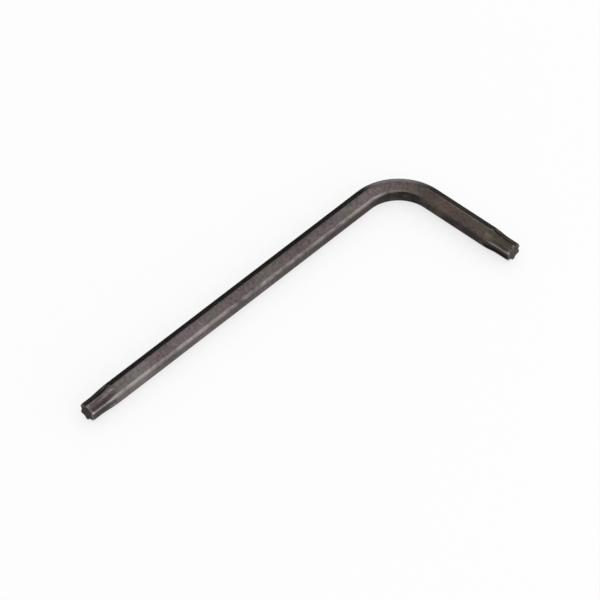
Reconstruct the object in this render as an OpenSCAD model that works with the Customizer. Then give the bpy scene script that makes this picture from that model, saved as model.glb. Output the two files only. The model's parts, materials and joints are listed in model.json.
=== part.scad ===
// L-shaped star key, bent from one length of hexagon bar with a six-lobe star formed on each end.
// It lies flat, with a corner of the hexagon underneath and the flats inside and outside of the bend.
// The long arm runs along X with its tip at -X, and the short arm points to -Y. Units are millimetres.

/* [Bar] */
// Across the flats of the hexagon bar
bar_across_flats = 2.85; // [2.4:0.05:3.5]
// Radius drawn on each corner of the bar
bar_corner_r = 0.4; // [0.1:0.01:0.5]

/* [Arms] */
// Reach of the long arm, from its tip to the outside of the short arm
long_reach = 63.1; // [45:0.1:120]
// Reach of the short arm, from its tip to the outside of the long arm
short_reach = 23.5; // [18:0.1:45]
// Radius of the bend on the bar's centre line
bend_r = 6.55; // [4:0.05:8]

/* [Star] */
// Over two opposite lobes
star_over_lobes = 2.8; // [2.7:0.01:2.9]
// Across two opposite flutes
star_across_flutes = 2.05; // [1.95:0.01:2.15]
// Radius of a lobe's crown
lobe_r = 0.23; // [0.18:0.01:0.26]

/* [Tips] */
// Length of full star on the long arm
long_star_length = 1.4; // [0.8:0.1:3]
// Length over which the long arm's star runs out into the bar
long_runout_length = 3.5; // [2:0.1:5]
// Length of full star on the short arm
short_star_length = 1.9; // [0.8:0.1:3]
// Length over which the short arm's star runs out into the bar
short_runout_length = 2.7; // [2:0.1:4]
// Turned chamfer round each end face, measured along the bar
tip_chamfer = 0.1; // [0.05:0.01:0.3]

/* [Hidden] */
$fn = 96;

blackened_steel = [0.36, 0.33, 0.32];

// A hexagon and a star both repeat every 60 degrees, and each sector mirrors about its corner or lobe.
sectors = 6;
half_sector = 180 / sectors;
quarter_turn = 90;

// Facets in half a corner's arc, from there to the edge of a lobe, in half a flute, and along a run-out
corner_steps = 2;
crown_steps = 2;
flute_steps = 4;
runout_steps = 14;

// Bar section: centre of a corner's arc, the corner's own reach, and the turn at which its flat begins
corner_centre = (bar_across_flats / 2 - bar_corner_r) / cos(half_sector);
bar_corner_reach = corner_centre + bar_corner_r;
corner_edge = atan2(bar_corner_r * sin(half_sector), corner_centre + bar_corner_r * cos(half_sector));

// Star section: each flute is the arc that touches two lobes and leaves the stated width across flutes.
lobe_centre = star_over_lobes / 2 - lobe_r;
flute_reach = star_across_flutes / 2;
lobe_in_flute = lobe_centre * cos(half_sector);
flute_r = (lobe_r ^ 2 - lobe_centre ^ 2 - flute_reach ^ 2 + 2 * flute_reach * lobe_in_flute)
    / (2 * (flute_reach - lobe_in_flute - lobe_r));
flute_centre = flute_reach + flute_r;
touch_share = lobe_r / (lobe_r + flute_r);
touch_point = (1 - touch_share) * [lobe_centre, 0]
    + touch_share * flute_centre * [cos(half_sector), sin(half_sector)];
lobe_edge = atan2(touch_point.y, touch_point.x);

// Where the key lies: the middle of its outer box is at X 0 and Y 0, and its lowest corner is at Z 0.
axis_z = bar_corner_reach;
long_axis_y = (short_reach - bar_across_flats) / 2;
short_axis_x = (long_reach - bar_across_flats) / 2;
bend_centre = [short_axis_x - bend_r, long_axis_y - bend_r, axis_z];
long_tip_length = long_star_length + long_runout_length;
short_tip_length = short_star_length + short_runout_length;
long_tip_x = -long_reach / 2;
short_tip_y = -short_reach / 2;
long_bar_length = bend_centre.x - long_tip_x - long_tip_length;
short_bar_length = bend_centre.y - short_tip_y - short_tip_length;

// Distance of the bar's surface from its axis, at a turn from the nearest corner
function bar_radius(turn) =
    abs(turn) < corner_edge
        ? corner_centre * cos(turn) + sqrt(bar_corner_r ^ 2 - (corner_centre * sin(turn)) ^ 2)
        : bar_across_flats / 2 / cos(half_sector - abs(turn));

// Distance of the star's surface from its axis, at a turn from the nearest lobe
function star_radius(turn) =
    abs(turn) < lobe_edge
        ? lobe_centre * cos(turn) + sqrt(lobe_r ^ 2 - (lobe_centre * sin(turn)) ^ 2)
        : flute_centre * cos(half_sector - abs(turn))
            - sqrt(flute_r ^ 2 - (flute_centre * sin(half_sector - abs(turn))) ^ 2);

// Distance of a tip's surface from its axis, along its run-out. The flutes rise out of the bar on a curve that
// steepens, and round them the bar is turned down to a neck that eases from the lobes to the corners.
runout_rise = bar_across_flats / 2 - flute_reach;
function fluted_radius(along, turn) = star_radius(turn) + runout_rise * along ^ 2;
function neck_radius(along) =
    let (eased = along ^ 2 * (3 - 2 * along))
    star_over_lobes / 2 * (1 - eased) + bar_corner_reach * eased;
function tip_radius(along, turn) = min(bar_radius(turn), fluted_radius(along, turn), neck_radius(along));

// Evenly spaced turns from one turn up to, but not including, another
function turns_between(from, to, steps) = [for (i = [0 : steps - 1]) from + (to - from) * i / steps];

// Turns of half a sector, which take in the corner's edge and the lobe's edge, and then of a whole one
first_edge = min(corner_edge, lobe_edge);
second_edge = max(corner_edge, lobe_edge);
half_turns = concat(
    turns_between(0, first_edge, corner_steps),
    turns_between(first_edge, second_edge, crown_steps),
    turns_between(second_edge, half_sector, flute_steps)
);
sector_turns = concat(
    [-half_sector],
    [for (i = [len(half_turns) - 1 : -1 : 1]) -half_turns[i]],
    half_turns
);
corner_turns = [for (i = [-corner_steps : corner_steps]) corner_edge * i / corner_steps];
ring_size = sectors * len(sector_turns);

// Heading of a corner or lobe, with the first one upright
function heading(sector) = quarter_turn + sector * 2 * half_sector;

// Points round the bar, and round a star tip at the given place along its run-out
function bar_outline() = [
    for (sector = [0 : sectors - 1], turn = corner_turns)
        bar_radius(turn) * [cos(heading(sector) + turn), sin(heading(sector) + turn)]
];
function tip_outline(along) = [
    for (sector = [0 : sectors - 1], turn = sector_turns)
        tip_radius(along, turn) * [cos(heading(sector) + turn), sin(heading(sector) + turn)]
];

// One length of the bar, standing on the XY plane
module bar(length) {
    linear_extrude(length)
        polygon(bar_outline());
}

// The stretch where the star runs out into the bar, from the star below to the full hexagon above
module runout(length) {
    rings = [
        for (i = [0 : runout_steps])
            [for (p = tip_outline(i / runout_steps)) [p.x, p.y, length * i / runout_steps]]
    ];
    bottom_middle = ring_size * (runout_steps + 1);
    top_middle = bottom_middle + 1;
    top_ring = ring_size * runout_steps;
    points = concat([for (ring = rings) each ring], [[0, 0, 0], [0, 0, length]]);
    walls = [
        for (i = [0 : runout_steps - 1], j = [0 : ring_size - 1])
            let (
                here = i * ring_size + j,
                next = i * ring_size + (j + 1) % ring_size
            )
            each [[here, here + ring_size, next], [next, here + ring_size, next + ring_size]]
    ];
    bottom = [for (j = [0 : ring_size - 1]) [bottom_middle, j, (j + 1) % ring_size]];
    top = [for (j = [0 : ring_size - 1]) [top_middle, top_ring + (j + 1) % ring_size, top_ring + j]];
    polyhedron(points, concat(walls, bottom, top));
}

// The full star, standing on its chamfered end face
module star(length) {
    end_r = star_over_lobes / 2 - tip_chamfer;
    intersection() {
        linear_extrude(length)
            polygon(tip_outline(0));
        cylinder(h = length, r1 = end_r, r2 = end_r + length);
    }
}

module star_tip(star_length, runout_length) {
    star(star_length);
    translate([0, 0, star_length])
        runout(runout_length);
}

// Stands a shape up along the long arm, pointing to +X, or along the short arm, pointing to +Y
module along_long_arm(x) {
    translate([x, long_axis_y, axis_z])
        rotate([quarter_turn, 0, quarter_turn])
            children();
}
module along_short_arm(y) {
    translate([short_axis_x, y, axis_z])
        rotate([-quarter_turn, 0, 0])
            children();
}

// Straight bar of the long arm, from its star tip to the bend
module long_arm() {
    color(blackened_steel)
        along_long_arm(long_tip_x + long_tip_length)
            bar(long_bar_length);
}

// Quarter turn that joins the two arms
module bend() {
    color(blackened_steel)
        translate(bend_centre)
            rotate_extrude(angle = quarter_turn)
                translate([bend_r, 0])
                    polygon(bar_outline());
}

// Straight bar of the short arm, from its star tip to the bend
module short_arm() {
    color(blackened_steel)
        along_short_arm(short_tip_y + short_tip_length)
            bar(short_bar_length);
}

// Star on the end of the long arm
module long_star_tip() {
    color(blackened_steel)
        along_long_arm(long_tip_x)
            star_tip(long_star_length, long_runout_length);
}

// Star on the end of the short arm
module short_star_tip() {
    color(blackened_steel)
        along_short_arm(short_tip_y)
            star_tip(short_star_length, short_runout_length);
}

long_arm();
bend();
short_arm();
long_star_tip();
short_star_tip();
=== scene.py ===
"""Star key in blackened steel: the looks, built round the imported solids.

The key is one hexagon bar with a quarter bend and a six-lobe star formed on each end. Each section of the
bar is modelled here in the place of its solid: the outline is drawn square to the bar, then extruded or spun.
"""

import json
import logging
import math
from dataclasses import dataclass, field
from enum import Enum

import bpy
from mathutils import Matrix, Vector


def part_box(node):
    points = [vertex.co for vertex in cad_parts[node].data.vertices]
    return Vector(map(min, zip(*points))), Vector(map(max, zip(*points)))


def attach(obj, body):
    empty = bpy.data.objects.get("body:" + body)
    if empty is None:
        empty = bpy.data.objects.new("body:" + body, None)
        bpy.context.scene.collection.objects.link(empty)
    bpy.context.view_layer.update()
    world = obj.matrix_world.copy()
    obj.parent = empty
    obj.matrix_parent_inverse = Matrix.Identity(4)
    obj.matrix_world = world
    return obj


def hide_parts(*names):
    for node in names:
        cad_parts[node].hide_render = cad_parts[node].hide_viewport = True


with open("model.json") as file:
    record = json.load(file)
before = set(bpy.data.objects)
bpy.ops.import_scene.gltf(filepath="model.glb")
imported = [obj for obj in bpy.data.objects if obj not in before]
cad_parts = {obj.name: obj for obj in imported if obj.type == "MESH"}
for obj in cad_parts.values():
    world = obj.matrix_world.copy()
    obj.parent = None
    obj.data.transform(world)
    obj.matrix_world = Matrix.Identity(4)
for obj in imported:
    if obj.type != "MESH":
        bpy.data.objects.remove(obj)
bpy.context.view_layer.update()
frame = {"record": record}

MM = 0.001
SECTORS = 6
SECTOR = 2 * math.pi / SECTORS
BODY = "root"
RUN_ATTRIBUTE = "bar_run_mm"
# Per point: above 0 wear and painted highlights lighten the oxide, below 0 painted shade darkens it.
WEAR_AND_PAINTED_LIGHT_ATTRIBUTE = "wear_and_painted_light"

logging.basicConfig(level=logging.INFO, format="%(name)s: %(message)s")
log = logging.getLogger("star_key")


class Arm(Enum):
    """The two straight arms of the key, each with the way that leads out to its tip."""

    LONG = Vector((-1, 0, 0))
    SHORT = Vector((0, -1, 0))


def linear(hex_colour: str) -> tuple[float, float, float, float]:
    """Turns an sRGB hex colour into linear values.

    Args:
        hex_colour: The colour as six hex digits after a hash sign.

    Returns:
        Red, green, blue and an alpha of 1.
    """
    shades = [int(hex_colour[i : i + 2], 16) / 255 for i in (1, 3, 5)]
    red, green, blue = [s / 12.92 if s <= 0.04045 else ((s + 0.055) / 1.055) ** 2.4 for s in shades]
    return red, green, blue, 1.0


def add_node(
    tree: bpy.types.NodeTree, kind: str, links: dict | None = None, **settings: object
) -> bpy.types.Node:
    """Adds a shader node with its settings and links.

    Args:
        tree: The node tree that takes the node.
        kind: The node's Blender type.
        links: For each input's name or number, the output socket that feeds it, or its plain value.
        **settings: Attributes of the node itself.

    Returns:
        The new node.
    """
    node = tree.nodes.new(kind)
    for name, value in settings.items():
        setattr(node, name, value)
    for socket, source in (links or {}).items():
        if isinstance(source, bpy.types.NodeSocket):
            tree.links.new(source, node.inputs[socket])
        else:
            node.inputs[socket].default_value = source
    return node


def start_material(name: str) -> tuple[bpy.types.Material, bpy.types.NodeTree]:
    """Makes an empty node material.

    Args:
        name: The material's name.

    Returns:
        The material and its node tree.
    """
    material = bpy.data.materials.new(name)
    material.use_nodes = True
    material.node_tree.nodes.clear()
    return material, material.node_tree


@dataclass(frozen=True)
class BlackOxideSteel:
    """Drawn and hardened steel bar, blackened by a hot oxide bath.

    The eye sees a dark, slightly brown satin metal. Faint marks of the drawing die run along the bar and
    round the bend. The oxide is speckled and drifts between warm and grey. It is browner on the short arm and
    olive at its tip. Corners and lobes are lighter in patches, partly worn and partly painted highlights and
    glints, and painted shade darkens the flutes, the inner flat, the bend's inside and the end faces.
    """

    name: str = "black_oxide_drawn_steel"
    deep: str = "#4f4746"
    warm: str = "#73646a"
    grey: str = "#6a6762"
    brown: str = "#7c6462"
    olive: str = "#6d6857"
    # Worn colour, also used for painted highlights and glints on corners, lobes and lobe ends.
    worn_and_highlit: str = "#948e8c"
    # Painted shade colour, for the flutes, the inner flat, the bend's inside and the end faces.
    painted_shade: str = "#2e2928"
    edge_tint: str = "#d9d9d9"
    roughness: float = 0.17
    speckle_roughness: float = 0.08
    # Sizes of the patterns, and how many finer layers each noise has.
    # The real speckle is finer than a pixel of the render, so it is drawn as coarse as it needs to show.
    speckle_mm: float = 0.48
    speckle_detail: float = 4.0
    patch_mm: float = 1.1
    patch_detail: float = 3.0
    drift_mm: float = 2.8
    drift_detail: float = 1.0
    cloud_mm: float = 6.0
    cloud_detail: float = 1.0
    # The drawing die's marks, and the height of the marks and of the oxide's grain.
    mark_mm: float = 0.14
    mark_length_mm: float = 8.0
    mark_detail: float = 2.0
    mark_height_mm: float = 0.02
    mark_strength: float = 0.2
    grain_height_mm: float = 0.03
    grain_strength: float = 0.15
    # Where along the bar the oxide turns brown and then olive, and how olive it is at the least on the tip.
    brown_from_mm: float = 56.0
    brown_to_mm: float = 67.0
    olive_from_mm: float = 73.5
    olive_to_mm: float = 77.0
    tip_olive: float = 0.85
    # The stretch of each noise that is used, and how much the cloud deepens the specks.
    speckle_range: tuple[float, float] = (0.3, 0.7)
    drift_range: tuple[float, float] = (0.35, 0.65)
    depth_range: tuple[float, float] = (0.58, 1.06)
    patch_range: tuple[float, float] = (0.72, 1.25)
    cloud_depth: float = 0.6
    # How strong the wear and painted highlight are between their patches, and the painted shade between them
    # and on them.
    wear_and_highlight_between: float = 0.05
    painted_shade_between: float = 1.35
    painted_shade_on: float = 0.8

    def build(self) -> bpy.types.Material:
        """Makes the material.

        Returns:
            The material, which reads the piece's own run attribute and its wear and painted light attribute.
        """
        material, tree = start_material(self.name)
        run = add_node(tree, "ShaderNodeAttribute", attribute_name=RUN_ATTRIBUTE).outputs["Vector"]
        speckle = add_node(
            tree,
            "ShaderNodeTexNoise",
            {"Vector": run, "Scale": 1 / self.speckle_mm, "Detail": self.speckle_detail},
        ).outputs["Fac"]
        cloud = add_node(
            tree,
            "ShaderNodeTexNoise",
            {"Vector": run, "Scale": 1 / self.cloud_mm, "Detail": self.cloud_detail},
        ).outputs["Fac"]
        oxide = self._oxide(tree, run, speckle, cloud)
        colour = self._paint_wear_highlights_and_shade(tree, oxide, run, cloud)
        roughness = add_node(
            tree,
            "ShaderNodeMapRange",
            {
                "Value": speckle,
                "From Min": self.speckle_range[0],
                "From Max": self.speckle_range[1],
                "To Min": self.roughness + self.speckle_roughness,
                "To Max": self.roughness,
            },
        ).outputs["Result"]
        shader = add_node(
            tree,
            "ShaderNodeBsdfPrincipled",
            {
                "Base Color": colour,
                "Metallic": 1.0,
                "Roughness": roughness,
                "Specular Tint": linear(self.edge_tint),
                "Normal": self._draw_marks(tree, run, speckle),
            },
        )
        add_node(tree, "ShaderNodeOutputMaterial", {"Surface": shader.outputs["BSDF"]})
        return material

    def _oxide(
        self,
        tree: bpy.types.NodeTree,
        run: bpy.types.NodeSocket,
        speckle: bpy.types.NodeSocket,
        cloud: bpy.types.NodeSocket,
    ) -> bpy.types.NodeSocket:
        """Colours the oxide: warm and grey drifts, brown and olive on the short arm, and deeper specks.

        Args:
            tree: The material's node tree.
            run: The straightened coordinates, in millimetres.
            speckle: The fine noise of the oxide.
            cloud: The slow noise along the bar.

        Returns:
            The oxide's colour.
        """
        drift = add_node(
            tree,
            "ShaderNodeTexNoise",
            {"Vector": run, "Scale": 1 / self.drift_mm, "Detail": self.drift_detail},
        ).outputs["Fac"]
        hue_share = add_node(
            tree,
            "ShaderNodeMapRange",
            {"Value": drift, "From Min": self.drift_range[0], "From Max": self.drift_range[1]},
        ).outputs["Result"]
        hue = add_node(
            tree,
            "ShaderNodeMix",
            {"Factor": hue_share, "A": linear(self.warm), "B": linear(self.grey)},
            data_type="RGBA",
        ).outputs["Result"]
        along = add_node(tree, "ShaderNodeSeparateXYZ", {"Vector": run}).outputs["X"]
        brown_share = add_node(
            tree,
            "ShaderNodeMapRange",
            {"Value": along, "From Min": self.brown_from_mm, "From Max": self.brown_to_mm},
        ).outputs["Result"]
        olive_share = add_node(
            tree,
            "ShaderNodeMapRange",
            {
                "Value": along,
                "From Min": self.olive_from_mm,
                "From Max": self.olive_to_mm,
                "To Max": self.tip_olive,
            },
        ).outputs["Result"]
        brown_hue_share = add_node(
            tree, "ShaderNodeMath", {0: hue_share, 1: olive_share}, operation="MAXIMUM"
        ).outputs["Value"]
        browned = add_node(
            tree,
            "ShaderNodeMix",
            {"Factor": brown_hue_share, "A": linear(self.brown), "B": linear(self.olive)},
            data_type="RGBA",
        ).outputs["Result"]
        tinted = add_node(
            tree, "ShaderNodeMix", {"Factor": brown_share, "A": hue, "B": browned}, data_type="RGBA"
        ).outputs["Result"]
        depth = add_node(
            tree, "ShaderNodeMath", {0: cloud, 1: self.cloud_depth, 2: speckle}, operation="MULTIPLY_ADD"
        ).outputs["Value"]
        depth_share = add_node(
            tree,
            "ShaderNodeMapRange",
            {"Value": depth, "From Min": self.depth_range[0], "From Max": self.depth_range[1]},
        ).outputs["Result"]
        return add_node(
            tree,
            "ShaderNodeMix",
            {"Factor": depth_share, "A": linear(self.deep), "B": tinted},
            data_type="RGBA",
        ).outputs["Result"]

    def _paint_wear_highlights_and_shade(
        self,
        tree: bpy.types.NodeTree,
        oxide: bpy.types.NodeSocket,
        run: bpy.types.NodeSocket,
        cloud: bpy.types.NodeSocket,
    ) -> bpy.types.NodeSocket:
        """Lightens corners and lobes with wear and painted highlights, and adds painted shade, both in
        patches.

        Args:
            tree: The material's node tree.
            oxide: The oxide's colour.
            run: The straightened coordinates, in millimetres.
            cloud: The slow noise along the bar.

        Returns:
            The colour with its wear, painted highlights and painted shade.
        """
        wear_and_painted_light = add_node(tree, "ShaderNodeAttribute", attribute_name=WEAR_AND_PAINTED_LIGHT_ATTRIBUTE).outputs["Fac"]
        patch = add_node(
            tree,
            "ShaderNodeTexNoise",
            {"Vector": run, "Scale": 1 / self.patch_mm, "Detail": self.patch_detail},
        ).outputs["Fac"]
        patchy = add_node(
            tree, "ShaderNodeMath", {0: patch, 1: cloud}, operation="ADD"
        ).outputs["Value"]
        strength = add_node(
            tree,
            "ShaderNodeMapRange",
            {
                "Value": patchy,
                "From Min": self.patch_range[0],
                "From Max": self.patch_range[1],
                "To Min": self.wear_and_highlight_between,
            },
        ).outputs["Result"]
        share = add_node(
            tree, "ShaderNodeMath", {0: wear_and_painted_light, 1: strength}, operation="MULTIPLY", use_clamp=True
        ).outputs["Value"]
        # Mix towards the worn colour, which also paints highlights and glints.
        worn_and_highlit = add_node(
            tree,
            "ShaderNodeMix",
            {"Factor": share, "A": oxide, "B": linear(self.worn_and_highlit)},
            data_type="RGBA",
        ).outputs["Result"]
        # Painted shade, mixed in where the attribute is below 0.
        cover = add_node(
            tree,
            "ShaderNodeMapRange",
            {
                "Value": patchy,
                "From Min": self.patch_range[0],
                "From Max": self.patch_range[1],
                "To Min": -self.painted_shade_between,
                "To Max": -self.painted_shade_on,
            },
        ).outputs["Result"]
        painted_shade_amount = add_node(
            tree, "ShaderNodeMath", {0: wear_and_painted_light, 1: cover}, operation="MULTIPLY", use_clamp=True
        ).outputs["Value"]
        return add_node(
            tree,
            "ShaderNodeMix",
            {"Factor": painted_shade_amount, "A": worn_and_highlit, "B": linear(self.painted_shade)},
            data_type="RGBA",
        ).outputs["Result"]

    def _draw_marks(
        self, tree: bpy.types.NodeTree, run: bpy.types.NodeSocket, speckle: bpy.types.NodeSocket
    ) -> bpy.types.NodeSocket:
        """Lays the drawing die's marks along the bar, under the grain of the oxide.

        Args:
            tree: The material's node tree.
            run: The straightened coordinates, in millimetres.
            speckle: The fine noise of the oxide.

        Returns:
            The bumped normal.
        """
        scale = (1 / self.mark_length_mm, 1 / self.mark_mm, 1 / self.mark_mm)
        stretched = add_node(
            tree, "ShaderNodeMapping", {"Vector": run, "Scale": scale}
        ).outputs["Vector"]
        marks = add_node(
            tree, "ShaderNodeTexNoise", {"Vector": stretched, "Scale": 1.0, "Detail": self.mark_detail}
        ).outputs["Fac"]
        drawn = add_node(
            tree,
            "ShaderNodeBump",
            {"Height": marks, "Strength": self.mark_strength, "Distance": self.mark_height_mm * MM},
        ).outputs["Normal"]
        return add_node(
            tree,
            "ShaderNodeBump",
            {
                "Height": speckle,
                "Strength": self.grain_strength,
                "Distance": self.grain_height_mm * MM,
                "Normal": drawn,
            },
        ).outputs["Normal"]


@dataclass(frozen=True)
class WhiteTable:
    """Polished white acrylic sheet, lit through from below.

    The eye sees plain white with a faint shadow. The steel sees white too, and a mirror of the room where it
    looks along the sheet at a grazing angle.
    """

    name: str = "white_acrylic_table"
    white: str = "#fdfdfd"
    roughness: float = 0.5
    ior: float = 1.3
    glow: float = 0.75
    polish: str = "#f0f0f0"
    polish_roughness: float = 0.05
    mirror_from: float = 0.78
    mirror_to: float = 0.86

    def build(self) -> bpy.types.Material:
        """Makes the material of the table top.

        Returns:
            The material.
        """
        material, tree = start_material(self.name)
        body = add_node(
            tree,
            "ShaderNodeBsdfPrincipled",
            {"Base Color": linear(self.white), "Roughness": self.roughness, "IOR": self.ior},
        ).outputs["BSDF"]
        rays = add_node(tree, "ShaderNodeLightPath").outputs
        shiny = add_node(
            tree,
            "ShaderNodeMath",
            {0: rays["Is Glossy Ray"], 1: rays["Is Transmission Ray"]},
            operation="MAXIMUM",
        ).outputs["Value"]
        seen = add_node(
            tree, "ShaderNodeMath", {0: rays["Is Camera Ray"], 1: shiny}, operation="MAXIMUM"
        ).outputs["Value"]
        share = add_node(
            tree, "ShaderNodeMath", {0: seen, 1: self.glow}, operation="MULTIPLY"
        ).outputs["Value"]
        backlight = add_node(
            tree, "ShaderNodeEmission", {"Color": linear(self.white)}
        ).outputs["Emission"]
        sheet = add_node(
            tree, "ShaderNodeMixShader", {0: share, 1: body, 2: backlight}
        ).outputs["Shader"]
        polish = add_node(
            tree,
            "ShaderNodeBsdfGlossy",
            {"Color": linear(self.polish), "Roughness": self.polish_roughness},
        ).outputs["BSDF"]
        look = add_node(tree, "ShaderNodeLayerWeight").outputs["Facing"]
        grazing = add_node(
            tree,
            "ShaderNodeMapRange",
            {"Value": look, "From Min": self.mirror_from, "From Max": self.mirror_to},
            interpolation_type="SMOOTHSTEP",
        ).outputs["Result"]
        mirror = add_node(
            tree, "ShaderNodeMath", {0: grazing, 1: shiny}, operation="MULTIPLY"
        ).outputs["Value"]
        surface = add_node(
            tree, "ShaderNodeMixShader", {0: mirror, 1: sheet, 2: polish}
        ).outputs["Shader"]
        add_node(tree, "ShaderNodeOutputMaterial", {"Surface": surface})
        return material


@dataclass(frozen=True)
class BlackCard:
    """Matt black card, which the steel shows as its darkest facets."""

    name: str = "matt_black_card"
    black: str = "#151515"

    def build(self) -> bpy.types.Material:
        """Makes the material of the card.

        Returns:
            The material.
        """
        material, tree = start_material(self.name)
        face = add_node(tree, "ShaderNodeBsdfDiffuse", {"Color": linear(self.black)})
        add_node(tree, "ShaderNodeOutputMaterial", {"Surface": face.outputs["BSDF"]})
        return material


def edit_mesh() -> None:
    """Opens the active piece's mesh for editing."""
    bpy.ops.object.mode_set(mode="EDIT")


def close_mesh() -> None:
    """Leaves edit mode, if a mesh is open."""
    if bpy.context.object and bpy.context.object.mode != "OBJECT":
        bpy.ops.object.mode_set(mode="OBJECT")


@dataclass
class BarPath:
    """The line that the bar's axis follows, from the long arm's tip round the bend to the short arm's tip."""

    long_tip_x: float
    short_tip_y: float
    long_axis_y: float
    short_axis_x: float
    axis_z: float
    bend_r: float

    @property
    def bend_centre(self) -> Vector:
        """Where the bend's own axis crosses the plane of the arms."""
        return Vector((self.short_axis_x - self.bend_r, self.long_axis_y - self.bend_r, self.axis_z))

    @property
    def straight(self) -> float:
        """Length from the long arm's tip to the start of the bend."""
        return self.bend_centre.x - self.long_tip_x

    def straighten(self, point: Vector) -> Vector:
        """Says where a point of the key would be if its bar were straight.

        Args:
            point: A point of the key, in metres.

        Returns:
            Millimetres along the bar from the long arm's tip, out from its axis, and up from its axis.
        """
        centre = self.bend_centre
        up = point.z - self.axis_z
        if point.x <= centre.x:
            along, out = point.x - self.long_tip_x, point.y - self.long_axis_y
        elif point.y <= centre.y:
            along = self.straight + self.bend_r * math.pi / 2 + centre.y - point.y
            out = point.x - self.short_axis_x
        else:
            east, north = point.x - centre.x, point.y - centre.y
            along = self.straight + self.bend_r * math.atan2(east, north)
            out = math.hypot(east, north) - self.bend_r
        return Vector((along, out, up)) / MM


def mix(start: float, end: float, share: float) -> float:
    """Mixes two values, from all of the first at a share of 0 to all of the second at 1."""
    return start + (end - start) * share


def ease(share: float) -> float:
    """Eases a share in and out between 0 and 1.

    Args:
        share: The plain share, which may lie outside that range.

    Returns:
        The eased share.
    """
    held = max(0.0, min(1.0, share))
    return held**2 * (3 - 2 * held)


def drop(share: float) -> float:
    """Says how far a quarter round has dropped.

    Args:
        share: The share of the round's length from its end, where it is steepest.

    Returns:
        The share of the round's depth, which is 1 at its end and 0 where it has run out.
    """
    left = max(0.0, min(1.0, 1 - share))
    return 1 - math.sqrt(1 - left**2)


def turn_from_corner(heading: float) -> float:
    """Says how far a heading is from the nearest corner or lobe.

    Args:
        heading: The heading round the bar, from its upright corner.

    Returns:
        The turn, up to half a sector.
    """
    return abs((heading + SECTOR / 2) % SECTOR - SECTOR / 2)


@dataclass
class BarSection:
    """The two outlines of the bar: its drawn hexagon, and the star formed on its ends.

    Both have a corner or lobe upright. The hexagon's corners and the star's lobes and flutes are arcs.
    """

    across_flats: float
    corner_r: float
    over_lobes: float
    across_flutes: float = 2.05 * MM
    lobe_r: float = 0.23 * MM
    corner_steps: int = 4
    crown_steps: int = 3
    flute_steps: int = 8

    @property
    def corner_centre(self) -> float:
        """Distance from the axis to the middle of a corner's arc."""
        return (self.across_flats / 2 - self.corner_r) / math.cos(SECTOR / 2)

    @property
    def corner_edge(self) -> float:
        """Turn at which a corner's arc meets its flat."""
        aside = self.corner_r * math.sin(SECTOR / 2)
        return math.atan2(aside, self.corner_centre + self.corner_r * math.cos(SECTOR / 2))

    @property
    def lobe_centre(self) -> float:
        """Distance from the axis to the middle of a lobe's arc."""
        return self.over_lobes / 2 - self.lobe_r

    @property
    def flute_r(self) -> float:
        """Works out the arc that touches two lobes and leaves the stated width across flutes.

        Returns:
            The radius of a flute.
        """
        flute = self.across_flutes / 2
        beside = self.lobe_centre * math.cos(SECTOR / 2)
        spread = self.lobe_r**2 - self.lobe_centre**2 - flute**2 + 2 * flute * beside
        return spread / (2 * (flute - beside - self.lobe_r))

    @property
    def lobe_edge(self) -> float:
        """Works out where a lobe's arc meets its flute.

        Returns:
            The turn from the lobe's middle.
        """
        share = self.lobe_r / (self.lobe_r + self.flute_r)
        flute_centre = self.across_flutes / 2 + self.flute_r
        along = (1 - share) * self.lobe_centre + share * flute_centre * math.cos(SECTOR / 2)
        return math.atan2(share * flute_centre * math.sin(SECTOR / 2), along)

    def bar_reach(self, turn: float) -> float:
        """Says how far the hexagon's surface is from the axis.

        Args:
            turn: The turn from the nearest corner.

        Returns:
            The distance from the axis.
        """
        if turn < self.corner_edge:
            aside = self.corner_centre * math.sin(turn)
            return self.corner_centre * math.cos(turn) + math.sqrt(self.corner_r**2 - aside**2)
        return self.across_flats / 2 / math.cos(SECTOR / 2 - turn)

    def star_reach(self, turn: float) -> float:
        """Says how far the star's surface is from the axis.

        Args:
            turn: The turn from the nearest lobe.

        Returns:
            The distance from the axis.
        """
        if turn < self.lobe_edge:
            aside = self.lobe_centre * math.sin(turn)
            return self.lobe_centre * math.cos(turn) + math.sqrt(self.lobe_r**2 - aside**2)
        flute_centre = self.across_flutes / 2 + self.flute_r
        aside = flute_centre * math.sin(SECTOR / 2 - turn)
        return flute_centre * math.cos(SECTOR / 2 - turn) - math.sqrt(self.flute_r**2 - aside**2)

    def _sector_turns(self) -> list[float]:
        """Lists the turns of the points of one sector, closest together on its corner and lobe.

        Returns:
            The turns, from one corner up to the next.
        """
        stops = [0.0, self.corner_edge, self.lobe_edge, SECTOR / 2]
        steps = [self.corner_steps, self.crown_steps, self.flute_steps]
        half = [a + (b - a) * i / n for a, b, n in zip(stops, stops[1:], steps) for i in range(n)]
        return half + [SECTOR / 2] + [SECTOR - turn for turn in reversed(half[1:])]

    def draw(self, name: str, place: Vector, arm: Arm) -> bpy.types.Object:
        """Draws the hexagon square to an arm: a filled circle whose points are moved onto the outline.

        Args:
            name: The new piece's name.
            place: Where the outline's middle is.
            arm: The arm that it is square to.

        Returns:
            The piece, open for editing, with its one face selected.
        """
        turns = self._sector_turns()
        close_mesh()
        bpy.ops.object.select_all(action="DESELECT")
        bpy.ops.mesh.primitive_circle_add(
            vertices=SECTORS * len(turns), radius=self.across_flats / 2, fill_type="NGON"
        )
        piece = bpy.context.object
        piece.name = name
        piece.data.name = name
        up = Vector((0, 0, 1))
        side = up.cross(arm.value)
        for vertex in piece.data.vertices:
            heading = math.atan2(vertex.co.x, vertex.co.y) % (2 * math.pi)
            sector, step = divmod(round(heading / SECTOR * len(turns)), len(turns))
            heading = sector * SECTOR + turns[step]
            reach = self.bar_reach(turn_from_corner(heading))
            vertex.co = place + (side * math.sin(heading) + up * math.cos(heading)) * reach
        edit_mesh()
        bpy.ops.mesh.select_all(action="SELECT")
        return piece


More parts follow.
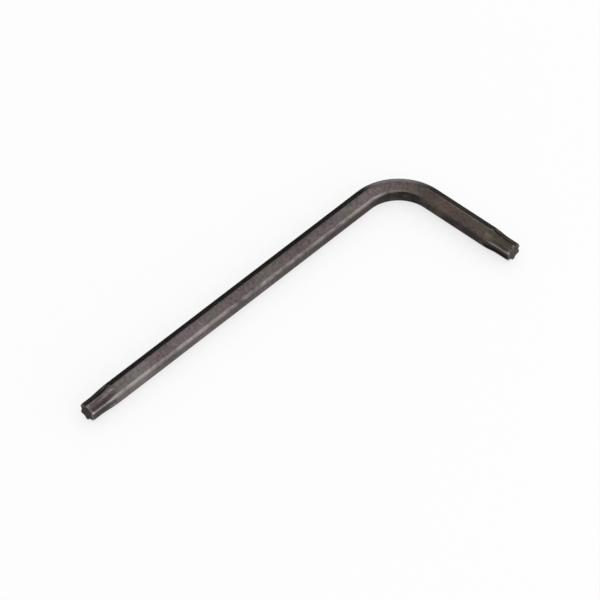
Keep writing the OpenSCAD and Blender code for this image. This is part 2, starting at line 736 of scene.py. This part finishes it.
@dataclass
class BarPiece:
    """What every section of the key shares: its node, its outline, and how it is finished and dressed."""

    name: str
    node: str
    path: BarPath
    section: BarSection
    smooth_angle: float = math.radians(35)
    merge_gap: float = 0.0002 * MM
    # Places on the bend are shares of its quarter turn, with the long arm below 0.
    # Wear and painted highlight of the two inner corners, which the lower one and the short arm have less of.
    wear_and_highlight_fade: float = math.radians(6.0)
    lower_corner: float = 0.4
    short_arm_less_wear_and_highlight: float = 0.9
    lessening_from: float = 0.4
    lessening_over: float = 0.4
    # Painted highlight on the other corners on the bend, and painted shade on them elsewhere, less so at the
    # long tip.
    bend_corner_highlight: float = 0.45
    bend_corner_highlight_at: float = 0.55
    bend_corner_highlight_reach: float = 0.3
    corner_painted_shade: float = 0.28
    tip_painted_shade_share: float = 0.4
    # Lighter patches on the inner flat near the long tip, and painted shade on it, which grows towards the
    # bend and inside it.
    tip_flat_lightening: float = 0.28
    tip_flat_lightening_to_mm: float = 18.0
    tip_flat_lightening_fade_mm: float = 10.0
    inner_painted_shade: float = 0.6
    inner_painted_shade_reach: float = 2.6
    bend_painted_shade: float = 0.3
    bend_painted_shade_over: float = 0.6
    bend_fade: float = 0.35
    corner_painted_shade_spread: float = math.radians(8.0)

    def finish(self, piece: bpy.types.Object, steel: bpy.types.Material) -> bpy.types.Object:
        """Closes the mesh, gives it its attributes and its steel, and puts it in its solid's place.

        Args:
            piece: The modelled piece, open for editing.
            steel: The material of the key.

        Returns:
            The finished piece.
        """
        bpy.ops.mesh.select_all(action="SELECT")
        bpy.ops.mesh.remove_doubles(threshold=self.merge_gap)
        bpy.ops.mesh.normals_make_consistent(inside=False)
        close_mesh()
        bpy.ops.object.shade_smooth_by_angle(angle=self.smooth_angle)
        self._write_attributes(piece)
        piece.data.materials.clear()
        piece.data.materials.append(steel)
        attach(piece, BODY)
        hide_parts(self.node)
        return piece

    def wear_and_painted_light(self, run: Vector) -> float:
        """Gives the oxide's wear and painted light at a point: lightest on the inner corners of the long arm.

        Args:
            run: The point on the straightened bar, in millimetres.

        Returns:
            Up to 1 for wear and painted highlight on a corner, 0 on a flat, and down to -1 for painted shade.
        """
        heading = math.atan2(run.y, run.z)
        on_corner = ease(1 - (turn_from_corner(heading) - self.section.corner_edge) / self.wear_and_highlight_fade)
        round_bend = (run.x * MM - self.path.straight) / (self.path.bend_r * math.pi / 2)
        towards_bend = ease(1 + round_bend / self.inner_painted_shade_reach)
        in_bend = ease(round_bend / self.bend_fade) * ease((1 - round_bend) / self.bend_fade)
        covered = SECTOR / 2 + self.corner_painted_shade_spread * in_bend - abs(heading + math.pi / 2)
        inside = ease(covered / self.corner_painted_shade_spread)
        # Inner corners: wear and painted highlight, less on the lower one and on the short arm.
        if run.y * MM < -self.section.across_flats / 4:
            less_wear_and_highlight = self.short_arm_less_wear_and_highlight * ease((round_bend - self.lessening_from) / self.lessening_over)
            wear_and_light = (1 - less_wear_and_highlight) * (1.0 if run.z > 0 else self.lower_corner)
        else:
            # Other corners: painted highlight on the bend, painted shade elsewhere.
            on_bend = ease(1 - abs(round_bend - self.bend_corner_highlight_at) / self.bend_corner_highlight_reach)
            wear_and_light = self.bend_corner_highlight * on_bend - self.corner_painted_shade * mix(self.tip_painted_shade_share, 1.0, towards_bend)
        wear_and_light *= on_corner * (1 - in_bend * inside)
        # Lighter patches on the inner flat near the long tip.
        if inside > 0:
            near_tip = ease((self.tip_flat_lightening_to_mm - run.x) / self.tip_flat_lightening_fade_mm)
            wear_and_light = max(wear_and_light, inside * self.tip_flat_lightening * near_tip)
        # Painted shade on the inner flat, growing towards the bend and inside it.
        in_turn = ease(round_bend / self.bend_painted_shade_over)
        return wear_and_light - inside * (self.inner_painted_shade * towards_bend + self.bend_painted_shade * in_turn)

    def _write_attributes(self, piece: bpy.types.Object) -> None:
        """Writes where each point lies on the straightened bar, and its wear and painted light.

        Args:
            piece: The modelled piece, out of edit mode.
        """
        mesh = piece.data
        runs = [self.path.straighten(vertex.co) for vertex in mesh.vertices]
        flat_runs = [value for run in runs for value in run]
        rubs = [self.wear_and_painted_light(run) for run in runs]
        mesh.attributes.new(RUN_ATTRIBUTE, "FLOAT_VECTOR", "POINT").data.foreach_set("vector", flat_runs)
        mesh.attributes.new(WEAR_AND_PAINTED_LIGHT_ATTRIBUTE, "FLOAT", "POINT").data.foreach_set("value", rubs)


@dataclass
class StraightBar(BarPiece):
    """A straight length of the bar."""

    arm: Arm = Arm.LONG
    start: Vector = field(default_factory=Vector)
    length: float = 0.0
    step: float = 2.5 * MM

    def build(self, steel: bpy.types.Material) -> bpy.types.Object:
        """Draws the section at the start and extrudes it outwards in even steps.

        Args:
            steel: The material of the key.

        Returns:
            The finished piece.
        """
        piece = self.section.draw(self.name, self.start, self.arm)
        steps = max(1, round(self.length / self.step))
        for _ in range(steps):
            bpy.ops.mesh.extrude_region_move(
                TRANSFORM_OT_translate={"value": self.arm.value * (self.length / steps)}
            )
        return self.finish(piece, steel)


@dataclass
class QuarterBend(BarPiece):
    """The quarter turn that joins the arms."""

    steps: int = 48

    def build(self, steel: bpy.types.Material) -> bpy.types.Object:
        """Draws the section at the long arm's end and spins it round to the short arm.

        Args:
            steel: The material of the key.

        Returns:
            The finished piece.
        """
        centre = self.path.bend_centre
        start = Vector((centre.x, self.path.long_axis_y, self.path.axis_z))
        piece = self.section.draw(self.name, start, Arm.LONG)
        bpy.ops.mesh.spin(steps=self.steps, angle=math.pi / 2, center=centre, axis=(0, 0, 1))
        return self.finish(piece, steel)


@dataclass
class StarTip(BarPiece):
    """A six-lobe star on the end of an arm, with its rounded end and its run-out into the bar."""

    arm: Arm = Arm.LONG
    end: Vector = field(default_factory=Vector)
    star_length: float = 0.0
    runout_length: float = 0.0
    # The round on the ends of the lobes, the smaller one on the rim, and the rings of the end face.
    round_depth: float = 0.15 * MM
    round_length: float = 0.42 * MM
    rim_r: float = 0.04 * MM
    face_rings: tuple[float, ...] = (0.92, 0.85, 0.6)
    runout_steps: int = 24
    round_steps: int = 8
    # Painted shade on the end face, inside a share of its outline.
    face_painted_shade: float = 1.0
    face_share: float = 0.9
    # Painted shade in the flutes and in those on the inner side, with more of it on one flank than on the
    # other.
    flute_painted_shade: float = 0.48
    near_flute_painted_shade: float = 0.35
    near_from: float = 0.5
    near_fade: float = 0.5
    flank_painted_shade: float = 0.35
    # Painted shade on the upper outer flute and the lobe beside it, and the headings between which it holds.
    outer_painted_shade: float = 1.0
    outer_from: float = 0.0
    outer_fade: float = 0.07
    outer_to: float = math.radians(78.0)
    outer_to_fade: float = math.radians(14.0)
    # Wear and painted highlight of the crowns, which lean a little to one side of their lobes.
    crown_lean: float = math.radians(5.0)
    crown_flat: float = math.radians(3.0)
    crown_wear_and_highlight: float = 0.0
    # Wear and painted glints on the rim and the crowns' ends, strongest on one side of the tip.
    rim_wear_and_glint: float = 0.3
    crown_end_wear_and_glint: float = 2.0
    wear_and_glint_length: float = 0.55 * MM
    worn_and_lit_from: float = SECTOR / 2

    def build(self, steel: bpy.types.Material) -> bpy.types.Object:
        """Draws the bar where the run-out ends, and extrudes it out into the star, ring by ring.

        Args:
            steel: The material of the key.

        Returns:
            The finished piece.
        """
        length = self.star_length + self.runout_length
        piece = self.section.draw(self.name, self.end - self.arm.value * length, self.arm)
        step = self.runout_length / self.runout_steps
        for _ in range(self.runout_steps):
            self._extrude(piece, step)
        self._extrude(piece, self.star_length - self.round_length)
        depths = [self.round_length * (i / self.round_steps) ** 2 for i in range(self.round_steps, -1, -1)]
        for depth, next_depth in zip(depths, depths[1:]):
            self._extrude(piece, depth - next_depth)
        for share in self.face_rings:
            self._extrude(piece, 0.0, share)
        return self.finish(piece, steel)

    def reach(self, turn: float, depth: float) -> float:
        """Says how far the tip's surface is from the axis.

        Args:
            turn: The turn from the nearest lobe.
            depth: The distance from the end face.

        Returns:
            The distance from the axis.
        """
        along = max(0.0, min(1.0, (depth - self.star_length) / self.runout_length))
        bar, lobes = self.section.bar_reach(turn), self.section.over_lobes / 2
        rise = (self.section.across_flats - self.section.across_flutes) / 2
        fluted = self.section.star_reach(turn) + rise * along**2
        neck = mix(lobes, self.section.bar_reach(0.0), ease(along))
        formed = min(bar, fluted, neck)
        turned = lobes - self.round_depth * drop(depth / self.round_length)
        end = min(turned, formed) if depth < self.round_length else formed
        return end - self.rim_r * drop(depth / self.rim_r)

    def _extrude(self, piece: bpy.types.Object, length: float, share: float = 1.0) -> None:
        """Extrudes the selected face outwards and moves its points onto the outline there.

        Args:
            piece: The tip, open for editing.
            length: How far it is extruded.
            share: The share of the outline's reach that the points are moved to.
        """
        bpy.ops.mesh.extrude_region_move(TRANSFORM_OT_translate={"value": self.arm.value * length})
        close_mesh()
        for vertex in piece.data.vertices:
            if vertex.select:
                depth = (self.end - vertex.co).dot(self.arm.value)
                axis = self.end - self.arm.value * depth
                run = self.path.straighten(vertex.co)
                turn = turn_from_corner(math.atan2(run.y, run.z))
                vertex.co = axis + (vertex.co - axis).normalized() * self.reach(turn, depth) * share
        edit_mesh()

    def wear_and_painted_light(self, run: Vector) -> float:
        """Gives the oxide's wear and painted light at a point of the tip.

        Args:
            run: The point on the straightened bar, in millimetres.

        Returns:
            1 or more for wear and painted glints on lobes and the rim, 0 on a flat, and down to -1 for
            painted shade on the end face and in the flutes.
        """
        heading = math.atan2(run.y, run.z)
        turn = turn_from_corner(heading)
        out = math.hypot(run.y, run.z) * MM
        depth = abs(run.x - self.path.straighten(self.end).x) * MM
        # Painted shade on the end face.
        if depth < self.rim_r and out < self.reach(turn, 0.0) * self.face_share:
            return -self.face_painted_shade
        star, bar = self.section.star_reach(turn), self.section.bar_reach(turn)
        formed = math.sqrt(max(0.0, (bar - out) / (bar - star)))
        off_crown = turn_from_corner(heading + self.crown_lean) - self.crown_flat
        from_crown = ease(off_crown / self.section.lobe_edge)
        side = self._side_wear_and_painted_light(super().wear_and_painted_light(run), heading, formed, from_crown)
        # Wear and painted glints on the rim and the lobes' ends, strongest on one side.
        worn_and_lit = ease(math.cos(heading + self.worn_and_lit_from))
        rim = worn_and_lit * mix(self.crown_end_wear_and_glint, self.rim_wear_and_glint, from_crown)
        return mix(side, rim, max(0.0, 1 - depth / self.wear_and_glint_length) ** 2)

    def _side_wear_and_painted_light(self, on_bar: float, heading: float, formed: float, from_crown: float) -> float:
        """Gives the wear and painted light on the side of the tip, away from its rim.

        Args:
            on_bar: The wear and painted light of a plain bar at that heading.
            heading: The heading round the bar, from its upright corner.
            formed: How far the bar is formed into the star there, from 0 to 1.
            from_crown: How far the point is from a lobe's crown, from 0 to 1.

        Returns:
            The wear and painted light, as for the whole tip.
        """
        # Painted shade in the flutes, more on the inner side and on one flank.
        near = ease((-math.sin(heading) - self.near_from) / self.near_fade)
        painted_shade_amount = mix(self.flute_painted_shade, self.near_flute_painted_shade, near)
        painted_shade_amount += self.flank_painted_shade * math.sin(SECTORS * heading)
        # Wear and painted highlight on the crowns.
        crown_wear_and_light = self.crown_wear_and_highlight * max(0.0, -math.sin(heading)) * (1 - from_crown) * formed
        inner = mix(on_bar, -painted_shade_amount, from_crown * formed) + crown_wear_and_light
        # Painted shade on the upper outer flute and the lobe beside it.
        outer = on_bar - self.outer_painted_shade * formed
        outer_share = ease((math.sin(heading) + self.outer_from) / self.outer_fade)
        outer_share *= ease((self.outer_to - heading) / self.outer_to_fade)
        return mix(inner, outer, outer_share)


@dataclass
class StarKey:
    """The whole key, as the sections of its one bar."""

    steel: BlackOxideSteel = field(default_factory=BlackOxideSteel)

    def build(self) -> list[bpy.types.Object]:
        """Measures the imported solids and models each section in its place.

        Returns:
            The finished pieces.
        """
        long_low, long_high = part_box("long_arm")
        short_low, short_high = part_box("short_arm")
        bend_low, bend_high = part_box("bend")
        drives = {mount["name"]: mount["dims"] for mount in frame["record"]["mounts"]}
        long_drive, short_drive = drives["long_star_drive"], drives["short_star_drive"]
        long_star, short_star = long_drive["length_mm"] * MM, short_drive["length_mm"] * MM
        across_flats = long_high.y - long_low.y
        corner_reach = (long_high.z - long_low.z) / 2
        sharp = across_flats / 2 / math.cos(SECTOR / 2)
        corner_r = (sharp - corner_reach) / (1 / math.cos(SECTOR / 2) - 1)
        section = BarSection(across_flats, corner_r, 2 * long_drive["r_mm"] * MM)
        path = BarPath(
            long_tip_x=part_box("long_star_tip")[0].x,
            short_tip_y=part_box("short_star_tip")[0].y,
            long_axis_y=(long_low.y + long_high.y) / 2,
            short_axis_x=(short_low.x + short_high.x) / 2,
            axis_z=(long_low.z + long_high.z) / 2,
            bend_r=bend_high.x - bend_low.x - across_flats / 2,
        )
        centre = path.bend_centre
        sections = [
            StraightBar(
                "long_bar", "long_arm", path, section,
                arm=Arm.LONG,
                start=Vector((centre.x, path.long_axis_y, path.axis_z)),
                length=centre.x - long_low.x,
            ),
            QuarterBend("quarter_bend", "bend", path, section),
            StraightBar(
                "short_bar", "short_arm", path, section,
                arm=Arm.SHORT,
                start=Vector((path.short_axis_x, centre.y, path.axis_z)),
                length=centre.y - short_low.y,
            ),
            StarTip(
                "long_star", "long_star_tip", path, section,
                arm=Arm.LONG,
                end=Vector((path.long_tip_x, path.long_axis_y, path.axis_z)),
                star_length=long_star,
                runout_length=long_low.x - path.long_tip_x - long_star,
            ),
            StarTip(
                "short_star", "short_star_tip", path, section,
                arm=Arm.SHORT,
                end=Vector((path.short_axis_x, path.short_tip_y, path.axis_z)),
                face_painted_shade=0.6,
                rim_wear_and_glint=0.1,
                outer_from=0.1,
                outer_painted_shade=0.75,
                flute_painted_shade=0.32,
                near_flute_painted_shade=0.75,
                crown_wear_and_highlight=1.5,
                crown_end_wear_and_glint=6.0,
                worn_and_lit_from=1.4 * SECTOR,
                star_length=short_star,
                runout_length=short_low.y - path.short_tip_y - short_star,
            ),
        ]
        steel = self.steel.build()
        return [piece.build(steel) for piece in sections]


@dataclass(frozen=True)
class Softbox:
    """A soft lamp, placed in metres right, away and up as the camera sees the key.

    Its brightness is how bright its face is, where 1 is white.
    """

    name: str
    place: tuple[float, float, float]
    width: float
    height: float
    brightness: float


@dataclass
class Studio:
    """Table, room, lamps and camera, set up round the photograph's line of sight."""

    azimuth: float = math.radians(-46.92)
    elevation: float = math.radians(46.4)
    distance: float = 0.63
    pixels_per_mm: float = 7.284
    picture_pixels: int = 600
    aim: Vector = field(default_factory=lambda: Vector((3.22, 3.305, 1.599)) * MM)
    aim_pixel: tuple[float, float] = (302.0, 301.5)
    clip: tuple[float, float] = (0.01, 10.0)
    table_size: float = 4.0
    room_white: str = "#ffffff"
    room_left: float = 0.55
    room_right: float = 0.68
    room_edge: float = 0.7
    card_aside: float = 0.28
    card_away: float = 0.5
    card_width: float = 0.4
    card_height: float = 0.13
    softboxes: tuple[Softbox, ...] = (
        Softbox("right_softbox", place=(0.62, 0.08, 0.42), width=0.9, height=0.9, brightness=0.5),
        Softbox("top_softbox", place=(0.0, 0.3, 0.85), width=1.1, height=1.9, brightness=0.48),
        Softbox("front_softbox", place=(0.52, -0.66, 0.3), width=0.95, height=0.7, brightness=1.5),
        Softbox("back_softbox", place=(0.0, 0.75, 0.26), width=0.22, height=0.5, brightness=0.5),
    )

    def ground(self, right: float, away: float, up: float) -> Vector:
        """Turns a place given as the camera sees it into the key's frame.

        Args:
            right: Metres to the right.
            away: Metres away from the camera, along the table.
            up: Metres up.

        Returns:
            The place in the key's frame.
        """
        return Matrix.Rotation(self.azimuth, 3, "Z") @ Vector((right, away, up))

    def build(self) -> None:
        """Makes the stage, the light and the camera."""
        bpy.context.scene.view_settings.view_transform = "Standard"
        self._lay_table()
        black = BlackCard().build()
        for aside in (-self.card_aside, self.card_aside):
            self._stand_card(aside, black)
        self._light_room()
        for softbox in self.softboxes:
            self._hang(softbox)
        self._place_camera()

    def _lay_table(self) -> None:
        """Lays the white table under the key."""
        bpy.ops.object.select_all(action="DESELECT")
        bpy.ops.mesh.primitive_plane_add(size=self.table_size)
        table = bpy.context.object
        table.name = "table"
        table.data.materials.append(WhiteTable().build())

    def _stand_card(self, aside: float, black: bpy.types.Material) -> None:
        """Stands a black card on the table behind the key, where only the steel shows it.

        Args:
            aside: Metres that the card's middle is to the right.
            black: The material of the card.
        """
        bpy.ops.object.select_all(action="DESELECT")
        place = self.ground(aside, self.card_away, self.card_height / 2)
        upright = (math.pi / 2, 0, self.azimuth)
        bpy.ops.mesh.primitive_plane_add(size=1.0, location=place, rotation=upright)
        card = bpy.context.object
        card.name = "black_card"
        card.scale = (self.card_width, self.card_height, 1)
        card.visible_camera = False
        card.visible_diffuse = False
        card.visible_shadow = False
        card.data.materials.append(black)

    def _light_room(self) -> None:
        """Fills the room with light, a little dimmer on the left."""
        world = bpy.data.worlds.new("pale_room")
        world.use_nodes = True
        tree = world.node_tree
        tree.nodes.clear()
        way = add_node(tree, "ShaderNodeTexCoord").outputs["Generated"]
        aside = add_node(
            tree, "ShaderNodeVectorMath", {0: way, 1: self.ground(1, 0, 0)}, operation="DOT_PRODUCT"
        ).outputs["Value"]
        strength = add_node(
            tree,
            "ShaderNodeMapRange",
            {
                "Value": aside,
                "From Min": -self.room_edge,
                "From Max": self.room_edge,
                "To Min": self.room_left,
                "To Max": self.room_right,
            },
        ).outputs["Result"]
        room = add_node(
            tree, "ShaderNodeBackground", {"Color": linear(self.room_white), "Strength": strength}
        )
        add_node(tree, "ShaderNodeOutputWorld", {"Surface": room.outputs["Background"]})
        bpy.context.scene.world = world

    def _hang(self, softbox: Softbox) -> None:
        """Hangs a softbox so that it faces the key.

        Args:
            softbox: The lamp, placed as the camera sees it.
        """
        lamp = bpy.data.lights.new(softbox.name, "AREA")
        lamp.shape = "RECTANGLE"
        lamp.size = softbox.width
        lamp.size_y = softbox.height
        lamp.energy = softbox.brightness * math.pi * softbox.width * softbox.height
        place = self.ground(*softbox.place)
        hung = bpy.data.objects.new(softbox.name, lamp)
        hung.location = place
        hung.rotation_mode = "QUATERNION"
        hung.rotation_quaternion = (-place).to_track_quat("-Z", "Y")
        hung.visible_camera = False
        bpy.context.scene.collection.objects.link(hung)

    def _place_camera(self) -> None:
        """Sets the camera at the photograph's viewing angle."""
        back = self.ground(0, -math.cos(self.elevation), math.sin(self.elevation))
        right = self.ground(1, 0, 0)
        up = back.cross(right)
        off_right = (self.aim_pixel[0] - self.picture_pixels / 2) / self.pixels_per_mm * MM
        off_down = (self.aim_pixel[1] - self.picture_pixels / 2) / self.pixels_per_mm * MM
        target = self.aim - right * off_right + up * off_down
        data = bpy.data.cameras.new("camera")
        data.lens = data.sensor_width * self.pixels_per_mm / MM * self.distance / self.picture_pixels
        data.clip_start, data.clip_end = self.clip
        camera = bpy.data.objects.new("camera", data)
        camera.location = target + back * self.distance
        camera.rotation_mode = "QUATERNION"
        camera.rotation_quaternion = (-back).to_track_quat("-Z", "Y")
        bpy.context.scene.collection.objects.link(camera)
        bpy.context.scene.camera = camera


def main() -> None:
    """Builds the key and the studio and reports each piece."""
    for piece in StarKey().build():
        log.info("built %s", piece.name)
    Studio().build()


if __name__ == "__main__":
    main()
